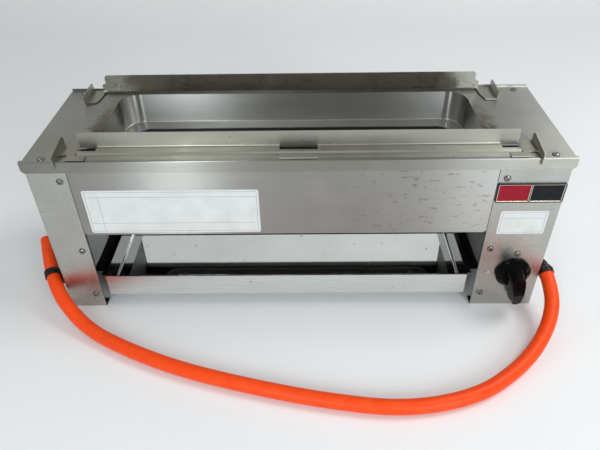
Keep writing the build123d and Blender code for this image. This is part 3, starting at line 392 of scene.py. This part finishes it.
def mouth_stain(tree, x, y):
    """Heat stain round the ends of the cooking opening"""
    off_x = off_from(tree, x, MOUTH_X)
    off_y = off_from(tree, y, MOUTH_Y)
    past_x = math_node(tree, "SUBTRACT", off_x, MOUTH_W / 2 - MOUTH_R)
    past_y = math_node(tree, "SUBTRACT", off_y, MOUTH_D / 2 - MOUTH_R)
    past_x = math_node(tree, "MAXIMUM", past_x, 0.0)
    past_y = math_node(tree, "MAXIMUM", past_y, 0.0)
    square_x = math_node(tree, "POWER", past_x, 2.0)
    square_y = math_node(tree, "POWER", past_y, 2.0)
    from_corner = math_node(tree, "SQRT", math_node(tree, "ADD", square_x, square_y))
    gap = math_node(tree, "SUBTRACT", from_corner, MOUTH_R)
    cloud = noise(tree, place(tree, even(70)), detail=5.0, roughness=0.65)
    ragged = stretch(tree, cloud, 0.3, 0.7, -0.006, 0.014)
    reach = math_node(tree, "SUBTRACT", gap, ragged)
    ends = stretch(tree, off_x, MOUTH_W / 2 - 0.012, MOUTH_W / 2 + 0.003)
    front_half = stretch(tree, y, MOUTH_Y - 0.03, MOUTH_Y + 0.05, 1.0, 0.15)
    near = stretch(tree, reach, 0.0, 0.014, 1.0, 0.0)
    return times(tree, times(tree, near, ends), front_half)


def lid_finish():
    """Lid sheet, brown from heat at both ends of the opening, with painted shade under the front rail"""
    material, tree, shader, colour = sheet_steel(
        "lid_stainless", grain=(14, 900, 900), tone=(0.345, 0.34, 0.31), rough=(0.30, 0.38),
        stain=0.5, specks=0.6)
    x, y, _ = axes(tree)
    brown = mix(tree, times(tree, mouth_stain(tree, x, y), 0.92), colour, HEAT_BROWN)
    # painted shade: dark brown on the lid under the front rail
    behind_rail = box_distance(tree, x, y, BEHIND_RAIL)
    brown = mix(tree, stretch(tree, behind_rail, -0.002, 0.0, 0.88, 0.0), brown, RAIL_SHADE_BROWN)
    tree.links.new(brown, shader.inputs["Base Color"])
    return material


def casing_finish():
    """Leg boxes, with painted shade on the faces that face each other"""
    material, tree, shader, colour = sheet_steel(
        "casing_stainless", grain=(12, 900, 900), tone=(0.47, 0.47, 0.445), rough=(0.22, 0.34),
        stain=0.5, specks=0.5, brush=0.6)
    x, _, _ = axes(tree)
    # painted shade: the faces between the boxes are made near black to stand in for the shade inside
    inner = between(tree, x, LEFT_X - SKIN, RIGHT_X + SKIN, blend=0.0002)
    tree.links.new(mix(tree, inner, colour, BOX_INSIDE_SHADE), shader.inputs["Base Color"])
    return material


def panel_finish():
    """Front and rear sheets with painted shade on their inner faces, and rows of dark scuffs on the right
    half
    """
    material, tree, shader, colour = sheet_steel(
        "panel_stainless", grain=(10, 900, 900), tone=(0.40, 0.395, 0.375), rough=(0.30, 0.38),
        stain=0.45, specks=0.3)
    x, y, _ = axes(tree)
    # painted shade: the panels' inner faces are made dark to stand in for the shade inside the body
    inner = between(tree, y, FACE + SKIN, BACK - SKIN, blend=0.0003)
    colour = mix(tree, inner, colour, PANEL_INSIDE_SHADE)
    scuffs = noise(tree, place(tree, (120, 60, 260)), detail=2.0, roughness=0.4)
    right_half = stretch(tree, x, 0.02, 0.12)
    marks = times(tree, stretch(tree, scuffs, 0.625, 0.68, 0.0, 0.55), right_half)
    tree.links.new(mix(tree, marks, colour, SCUFF), shader.inputs["Base Color"])
    return material


def rear_rail_finish():
    """Rear rail, browned by the fire along its middle"""
    material, tree, shader, colour = sheet_steel(
        "rear_rail_stainless", grain=(8, 900, 900), tone=(0.62, 0.61, 0.56), rough=(0.26, 0.34),
        stain=0.5, specks=0.7, brush=0.0)
    x, _, _ = axes(tree)
    cloud = noise(tree, place(tree, (22, 22, 60)), detail=5.0, roughness=0.6)
    ragged = stretch(tree, cloud, 0.3, 0.7, -0.012, 0.016)
    reach = math_node(tree, "SUBTRACT", off_from(tree, x, REAR_RAIL_X), ragged)
    middle = stretch(tree, reach, 0.178, 0.200, 0.78, 0.0)
    tree.links.new(mix(tree, middle, colour, FIRE_BROWN), shader.inputs["Base Color"])
    return material


def tray_finish():
    """Tray: mirror-bright inside with drips of dirt, brushed on its front, rusty at the front's ends, with
    painted shade on its sides
    """
    material, tree, shader, colour = sheet_steel(
        "tray_stainless", grain=(12, 12, 900), tone=(0.74, 0.75, 0.735), rough=(0.03, 0.06),
        stain=0.2, specks=0.8, speck_scale=150.0, brush=0.0)
    x, y, _ = axes(tree)
    front = stretch(tree, y, TRAY_SKIN - TRAY_BLEND, TRAY_SKIN + TRAY_BLEND, 1.0, 0.0)
    grain = noise(tree, place(tree, (16, 16, 900)), detail=3.0, roughness=0.6)
    brushed_rough = ramp(tree, grain, (0.3, even(0.22)), (0.7, even(0.32)))
    tree.links.new(mix(tree, front, even(0.045), brushed_rough), shader.inputs["Roughness"])
    off = off_from(tree, x, TRAY_X)
    # painted shade on the side walls and flanges, beside the dark gaps to the boxes
    sides = stretch(tree, off, TRAY_HALF - TRAY_SIDE_FROM, TRAY_HALF - TRAY_SIDE_TO, 0.0, 0.62)
    sides = times(tree, sides, math_node(tree, "SUBTRACT", 1.0, front))
    colour = mix(tree, sides, colour, TRAY_SIDE_SHADE)
    ends = math_node(tree, "GREATER_THAN", off, TRAY_HALF - TRAY_EDGE)
    rust = times(tree, times(tree, ends, front), 0.6)
    tree.links.new(mix(tree, rust, colour, RUST), shader.inputs["Base Color"])
    return material


def plain(name, colour, metallic, rough, grain=200.0, vary=0.15, strength=0.05, gloss=0.5):
    """Small part's finish: one colour with slight wear in tone and gloss"""
    material, tree, shader = new_material(name)
    wear = noise(tree, place(tree), scale=grain)
    tones = ramp(tree, wear, (0.3, shade(colour, 1 - vary)), (0.7, shade(colour, 1 + vary)))
    tree.links.new(tones, shader.inputs["Base Color"])
    tree.links.new(stretch(tree, wear, 0.3, 0.7, rough * 0.8, rough * 1.25), shader.inputs["Roughness"])
    shader.inputs["Metallic"].default_value = metallic
    shader.inputs["Specular IOR Level"].default_value = gloss
    bump(tree, shader, wear, strength, distance=0.0003)
    return material


def hose_rubber():
    """Orange gas hose: satin rubber with dust and a fine grain"""
    material, tree, shader = new_material("orange_hose_rubber")
    dust = noise(tree, place(tree), scale=90.0, detail=5.0, roughness=0.6)
    fine = noise(tree, place(tree), scale=900.0, detail=2.0)
    clean = (0.3, (0.88, 0.058, 0.003))
    worn = (0.6, (0.94, 0.075, 0.005))
    dusty = (0.8, (0.95, 0.11, 0.015))
    tree.links.new(ramp(tree, dust, clean, worn, dusty), shader.inputs["Base Color"])
    tree.links.new(stretch(tree, dust, 0.3, 0.8, 0.36, 0.55), shader.inputs["Roughness"])
    shader.inputs["Specular IOR Level"].default_value = 0.25
    bump(tree, shader, fine, strength=0.08, distance=0.0002)
    return material


def badge_finish():
    """Bare badge: glossy black plate, one red and one black field, thin pale borders"""
    material, tree, shader = new_material("badge_enamel")
    x, _, z = axes(tree)
    red = box_distance(tree, x, z, RED_FIELD)
    black = box_distance(tree, x, z, BLACK_FIELD)
    wear = noise(tree, place(tree), scale=260.0, detail=3.0)
    plate = ramp(tree, wear, (0.3, (0.006, 0.007, 0.009)), (0.7, (0.012, 0.013, 0.016)))
    enamel = ramp(tree, wear, (0.3, (0.26, 0.006, 0.018)), (0.7, (0.31, 0.009, 0.024)))
    colour = mix(tree, math_node(tree, "LESS_THAN", red, 0.0), plate, enamel)
    red_line = line_at(tree, red, 0.0, BORDER_HALF)
    black_line = line_at(tree, black, 0.0, BORDER_HALF)
    border = math_node(tree, "MAXIMUM", red_line, black_line)
    colour = mix(tree, border, colour, BORDER_GOLD)
    tree.links.new(colour, shader.inputs["Base Color"])
    tree.links.new(times(tree, border, 0.8), shader.inputs["Metallic"])
    tree.links.new(stretch(tree, wear, 0.3, 0.7, 0.12, 0.2), shader.inputs["Roughness"])
    shader.inputs["Specular IOR Level"].default_value = 0.15
    return material


def label_finish(name, box, rows, columns):
    """Bare label film with a ruled frame, level lines and upright lines below the first of them"""
    material, tree, shader = new_material(name)
    x, _, z = axes(tree)
    edge = box_distance(tree, x, z, box)
    lines = line_at(tree, edge, -LABEL_FRAME, RULE_HALF)
    inside = math_node(tree, "LESS_THAN", edge, -LABEL_FRAME)
    below = math_node(tree, "LESS_THAN", z, rows[0])
    for row in rows:
        rule = times(tree, line_at(tree, z, row, RULE_HALF), inside)
        lines = math_node(tree, "MAXIMUM", lines, rule)
    for column in columns:
        rule = times(tree, times(tree, line_at(tree, x, column, RULE_HALF), inside), below)
        lines = math_node(tree, "MAXIMUM", lines, rule)
    smear = noise(tree, place(tree), scale=45.0, detail=5.0, roughness=0.6)
    film = ramp(tree, smear, (0.3, (0.62, 0.63, 0.61)), (0.7, (0.72, 0.73, 0.71)))
    tree.links.new(mix(tree, lines, film, RULE_GREY), shader.inputs["Base Color"])
    tree.links.new(stretch(tree, smear, 0.3, 0.7, 0.3, 0.45), shader.inputs["Roughness"])
    return material


def floor_finish():
    """Pale matte floor with a faint change of tone"""
    material, tree, shader = new_material("pale_floor")
    soft = noise(tree, place(tree), scale=2.0, detail=3.0)
    tone = ramp(tree, soft, (0.3, (0.84, 0.845, 0.84)), (0.7, (0.87, 0.875, 0.87)))
    tree.links.new(tone, shader.inputs["Base Color"])
    shader.inputs["Roughness"].default_value = 0.7
    shader.inputs["Specular IOR Level"].default_value = 0.2
    return material


# Pieces

def mesh_from(name, build):
    """Plain mesh from a finished bmesh, which ends here"""
    mesh = bpy.data.meshes.new(name)
    build.to_mesh(mesh)
    build.free()
    return mesh


def finished(name, build, material):
    """Piece of the casing from a finished bmesh"""
    bmesh.ops.recalc_face_normals(build, faces=build.faces)
    mesh = mesh_from(name, build)
    mesh.materials.append(material)
    piece = link(bpy.data.objects.new(name, mesh))
    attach(piece, CASING)


def hose_curve(material):
    """The hose's smooth line with its round section"""
    data = bpy.data.curves.new("gas_hose_line", "CURVE")
    data.dimensions = "3D"
    spline = data.splines.new("NURBS")
    spline.points.add(len(HOSE_POINTS) - 1)
    for point, at in zip(spline.points, HOSE_POINTS):
        point.co = (*at, 1.0)
    spline.order_u = 3
    spline.use_endpoint_u = True
    spline.resolution_u = 12
    data.bevel_depth = HOSE_R
    data.bevel_resolution = 8
    data.use_fill_caps = True
    data.materials.append(material)
    hose = link(bpy.data.objects.new("hose_orange", data))
    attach(hose, CASING)
    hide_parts("gas_hose")
    return hose


def hose_mouth(material):
    """Black disc in the free end of the hose, painted shade standing in for the hollow bore"""
    build = bmesh.new()
    end, before = Vector(HOSE_POINTS[-1]), Vector(HOSE_POINTS[-2])
    out = (end - before).normalized()
    turn = out.to_track_quat("Z", "Y").to_matrix().to_4x4()
    middle = Matrix.Translation(end + out * BORE_OUT) @ turn
    bmesh.ops.create_cone(build, cap_ends=True, segments=BORE_SIDES, radius1=HOSE_BORE, radius2=HOSE_BORE,
                          depth=BORE_T, matrix=middle)
    finished("hose_bore", build, material)


def bare_label(name, box, material):
    """Thin label with rounded corners on the front face"""
    x0, x1, z0, z1 = box
    middles = [(x1 - LABEL_R, z1 - LABEL_R), (x0 + LABEL_R, z1 - LABEL_R),
               (x0 + LABEL_R, z0 + LABEL_R), (x1 - LABEL_R, z0 + LABEL_R)]
    build = bmesh.new()
    outline = []
    for corner, (x, z) in enumerate(middles):
        for step in range(CORNER_STEPS + 1):
            angle = QUARTER * (corner + step / CORNER_STEPS)
            at = (x + LABEL_R * math.cos(angle), FACE, z + LABEL_R * math.sin(angle))
            outline.append(build.verts.new(at))
    face = build.faces.new(outline)
    raised = bmesh.ops.extrude_face_region(build, geom=[face])["geom"]
    moved = [part for part in raised if isinstance(part, bmesh.types.BMVert)]
    bmesh.ops.translate(build, verts=moved, vec=(0, -LABEL_T, 0))
    finished(name, build, material)


def ring_of(build, radius, height):
    """Ring of vertices round the head's axis"""
    turns = [2 * math.pi * i / HEAD_SIDES for i in range(HEAD_SIDES)]
    return [build.verts.new((radius * math.cos(a), radius * math.sin(a), height)) for a in turns]


def join_rings(build, low, high):
    """Band of faces between two rings"""
    for i in range(len(low)):
        j = (i + 1) % len(low)
        build.faces.new((low[i], low[j], high[j], high[i]))


def cross_outline():
    """Cross as three corners, repeated in four quarter turns"""
    corners = [(CROSS_ARM, -CROSS_HALF), (CROSS_ARM, CROSS_HALF), (CROSS_HALF, CROSS_HALF)]
    outline = []
    for _ in range(4):
        outline += corners
        corners = [(-y, x) for x, y in corners]
    return outline


def borders_of(build, ring):
    """Edges between the neighbours of a ring"""
    return [build.edges.get((a, b)) for a, b in zip(ring, ring[1:] + ring[:1])]


def screw_head_mesh():
    """Pan head with a cross recess, standing on its own foot"""
    build = bmesh.new()
    rings = [ring_of(build, HEAD_R * radius, HEAD_H * height) for radius, height in HEAD_PROFILE]
    build.faces.new(reversed(rings[0]))
    for low, high in zip(rings, rings[1:]):
        join_rings(build, low, high)
    cross = cross_outline()
    top = [build.verts.new((x, y, HEAD_H)) for x, y in cross]
    floor = [build.verts.new((x * CROSS_TAPER, y * CROSS_TAPER, HEAD_H - CROSS_DEPTH)) for x, y in cross]
    join_rings(build, floor, top)
    build.faces.new(floor)
    crown = borders_of(build, rings[-1]) + borders_of(build, top)
    bmesh.ops.triangle_fill(build, use_beauty=True, edges=crown)
    bmesh.ops.recalc_face_normals(build, faces=build.faces)
    return mesh_from("screw_head", build)


def screw_group():
    """Node group that sets one turned screw head on each point of a mesh"""
    group = bpy.data.node_groups.new("screws_on_points", "GeometryNodeTree")
    inputs = (("Places", "NodeSocketGeometry"), ("Head", "NodeSocketObject"), ("Lean", "NodeSocketVector"),
              ("Seed", "NodeSocketInt"), ("Finish", "NodeSocketMaterial"))
    for name, kind in inputs:
        group.interface.new_socket(name=name, in_out="INPUT", socket_type=kind)
    group.interface.new_socket(name="Screws", in_out="OUTPUT", socket_type="NodeSocketGeometry")
    nodes = group.nodes
    given = nodes.new("NodeGroupInput")
    head = nodes.new("GeometryNodeObjectInfo")
    copies = nodes.new("GeometryNodeInstanceOnPoints")
    lean = nodes.new("FunctionNodeEulerToRotation")
    spin = nodes.new("FunctionNodeRandomValue")
    turn = nodes.new("ShaderNodeCombineXYZ")
    spun = nodes.new("GeometryNodeRotateInstances")
    real = nodes.new("GeometryNodeRealizeInstances")
    finish = nodes.new("GeometryNodeSetMaterial")
    result = nodes.new("NodeGroupOutput")
    spin.data_type = "FLOAT"
    most = next(socket for socket in spin.inputs if socket.enabled and socket.name == "Max")
    most.default_value = QUARTER
    angle = next(socket for socket in spin.outputs if socket.enabled)
    spun.inputs["Local Space"].default_value = True
    wires = [
        (given.outputs["Places"], copies.inputs["Points"]),
        (given.outputs["Head"], head.inputs["Object"]),
        (head.outputs["Geometry"], copies.inputs["Instance"]),
        (given.outputs["Lean"], lean.inputs["Euler"]),
        (lean.outputs["Rotation"], copies.inputs["Rotation"]),
        (given.outputs["Seed"], spin.inputs["Seed"]),
        (angle, turn.inputs["Z"]),
        (copies.outputs["Instances"], spun.inputs["Instances"]),
        (turn.outputs["Vector"], spun.inputs["Rotation"]),
        (spun.outputs["Instances"], real.inputs["Geometry"]),
        (real.outputs["Geometry"], finish.inputs["Geometry"]),
        (given.outputs["Finish"], finish.inputs["Material"]),
        (finish.outputs["Geometry"], result.inputs["Screws"]),
    ]
    for start, end in wires:
        group.links.new(start, end)
    return group


def set_screws(name, replaced, places, lean, seed, head, group, material):
    """Row of screws of one direction, made a plain mesh in place of the CAD screws"""
    points = bpy.data.meshes.new(name + "_places")
    points.from_pydata(places, [], [])
    carrier = link(bpy.data.objects.new(name + "_carrier", points))
    modifier = carrier.modifiers.new("screws", "NODES")
    modifier.node_group = group
    sockets = {s.name: s.identifier for s in group.interface.items_tree if s.in_out == "INPUT"}
    modifier[sockets["Head"]] = head
    modifier[sockets["Lean"]] = lean
    modifier[sockets["Seed"]] = seed
    modifier[sockets["Finish"]] = material
    graph = bpy.context.evaluated_depsgraph_get()
    mesh = bpy.data.meshes.new_from_object(carrier.evaluated_get(graph))
    mesh.name = name
    bpy.data.objects.remove(carrier)
    bpy.data.meshes.remove(points)
    screws = link(bpy.data.objects.new(name, mesh))
    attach(screws, CASING)
    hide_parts(replaced)


def all_screws(material):
    """Front, rear, lid and valve screws, in rows of a name, the CAD node, places, lean and seed"""
    head = link(bpy.data.objects.new("screw_head_pattern", screw_head_mesh()))
    group = screw_group()
    columns = (LEFT_X - SCREW_EDGE, RIGHT_X + SCREW_EDGE)
    front = [(x, FACE, z) for x in columns for z in SCREW_HEIGHTS]
    rear = [(x, BACK, z) for x in columns for z in SCREW_HEIGHTS]
    lid = [(side * LID_SCREW_X, y, LID_TOP) for side in (-1, 1) for y in LID_SCREW_Y]
    valve = [(KNOB_X, FACE, KNOB_Z + side * VALVE_SCREW) for side in (-1, 1)]
    rows = [
        ("screws_on_front", "front_screws", front, (QUARTER, 0, 0), 3),
        ("screws_on_rear", "rear_screws", rear, (-QUARTER, 0, 0), 5),
        ("screws_on_lid", "lid_screws", lid, (0, 0, 0), 8),
        ("screws_on_valve", "valve_screws", valve, (QUARTER, 0, 0), 11),
    ]
    for name, replaced, places, lean, seed in rows:
        set_screws(name, replaced, places, lean, seed, head, group, material)
    bpy.data.objects.remove(head)


# Stage

def make_floor():
    """Pale floor and backdrop in one sweep; the sweep's own first row keeps the floor's shading flat"""
    profile = [(FLOOR_FRONT, 0.0), (FLOOR_BACK, 0.0)]
    for step in range(SWEEP_STEPS + 1):
        angle = QUARTER * step / SWEEP_STEPS
        profile.append((FLOOR_BACK + SWEEP_R * math.sin(angle), SWEEP_R - SWEEP_R * math.cos(angle)))
    profile.append((FLOOR_BACK + SWEEP_R, BACKDROP_TOP))
    build = bmesh.new()
    rows = [[build.verts.new((x, y, z)) for x in (-FLOOR_HALF, FLOOR_HALF)] for y, z in profile]
    for a, b in zip(rows, rows[1:]):
        build.faces.new((a[0], a[1], b[1], b[0]))
    mesh = mesh_from("floor", build)
    for face in mesh.polygons:
        face.use_smooth = True
    mesh.materials.append(floor_finish())
    link(bpy.data.objects.new("floor", mesh))


def make_lights():
    """Soft lamps and a plain world"""
    world = bpy.data.worlds.new("studio")
    world.use_nodes = True
    sky = world.node_tree.nodes["Background"]
    sky.inputs["Color"].default_value = STUDIO_TONE
    sky.inputs["Strength"].default_value = STUDIO_LIGHT
    bpy.context.scene.world = world
    for name, at, aim, size, power, colour in LAMPS:
        data = bpy.data.lights.new(name, "AREA")
        data.shape = "RECTANGLE"
        data.size, data.size_y = size
        data.energy = power
        data.color = colour
        lamp = link(bpy.data.objects.new(name, data))
        lamp.location = at
        lamp.rotation_euler = (Vector(aim) - Vector(at)).to_track_quat("-Z", "Y").to_euler()


# Finishes of the CAD nodes

def dress(material, *nodes):
    """Give CAD nodes a finish"""
    for node in nodes:
        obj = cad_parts[node]
        obj.data.materials.clear()
        obj.data.materials.append(material)


def dress_sheets():
    """Finishes of the stainless sheets"""
    # painted shade: inner walls and runners get a near-black tone that stands in for the shade inside the
    # boxes
    inner = steel("inner_steel_painted_shade", grain=(12, 60, 900), tone=(0.13, 0.133, 0.128), rough=(0.28, 0.40),
                  stain=0.3, specks=0.9, speck_scale=240.0)
    rail = steel("rail_stainless", grain=(8, 900, 900), tone=(0.42, 0.41, 0.365), rough=(0.32, 0.40),
                 stain=0.5, specks=0.7, brush=0.6)
    bracket = steel("bracket_stainless", grain=(12, 900, 900), tone=(0.36, 0.35, 0.30), rough=(0.30, 0.40),
                    stain=0.5, specks=0.4)
    chamber = steel("chamber_stainless", grain=(8, 8, 900), tone=(0.50, 0.495, 0.47), rough=(0.36, 0.40),
                    stain=0.4, specks=0.2, depth=0.0)
    soot = steel("sooty_steel", grain=(60, 60, 60), tone=(0.09, 0.085, 0.08), rough=(0.45, 0.60),
                 stain=0.4, specks=0.3)
    burner = steel("burner_heat_steel", grain=(60, 60, 60), tone=(0.17, 0.155, 0.14), rough=(0.35, 0.55),
                   stain=0.9, specks=0.8)
    dress(casing_finish(), "left_housing", "right_housing")
    dress(inner, "left_inner_wall", "right_inner_wall", "left_runner", "right_runner")
    dress(panel_finish(), "front_panel", "rear_panel")
    dress(lid_finish(), "top_plate")
    dress(rail, "front_skewer_rail", "rail_clip")
    dress(rear_rail_finish(), "rear_skewer_rail")
    dress(bracket, "front_left_bracket", "front_right_bracket", "rear_left_bracket", "rear_right_bracket")
    dress(chamber, "chamber_liner")
    dress(soot, "chamber_skirt")
    dress(tray_finish(), "water_tray")
    dress(burner, "burner_tube", "flame_cover", "burner_bracket_left", "burner_bracket_right")


def dress_fittings(trim):
    """Finishes of the gas fittings, the knob, the badge and the plug"""
    zinc = plain("zinc_plate", (0.56, 0.58, 0.6), metallic=1.0, rough=0.3)
    brass = plain("cast_brass", (0.68, 0.47, 0.2), metallic=1.0, rough=0.3)
    black_gloss = plain("knob_black", (0.003, 0.003, 0.0035), metallic=0.0, rough=0.12, grain=400.0, vary=0.2,
                        strength=0.02, gloss=0.06)
    dress(zinc, "mixer_tube", "air_shutter", "gas_pipe", "inlet_pipe", "panel_plug")
    dress(brass, "gas_jet", "valve_body", "valve_stem")
    dress(black_gloss, "control_knob")
    dress(badge_finish(), "badge_plate")
    dress(trim, "gas_inlet_elbow", "hose_clip_right", "hose_holder_left")


bpy.context.scene.view_settings.view_transform = "Standard"
make_camera()
hose = hose_curve(hose_rubber())
make_floor()
make_lights()
trim_black = plain("trim_black", (0.008, 0.008, 0.009), metallic=0.0, rough=0.4, grain=300.0, vary=0.2,
                   strength=0.05, gloss=0.25)
dress_sheets()
dress_fittings(trim_black)
# painted shade: black disc in place of the hose's hollow bore
hose_mouth(trim_black)
for side, box, rows, columns in LABELS:
    bare_label("label_" + side, box, label_finish("label_film_" + side, box, rows, columns))
all_screws(plain("screw_steel", (0.26, 0.255, 0.245), metallic=1.0, rough=0.2))
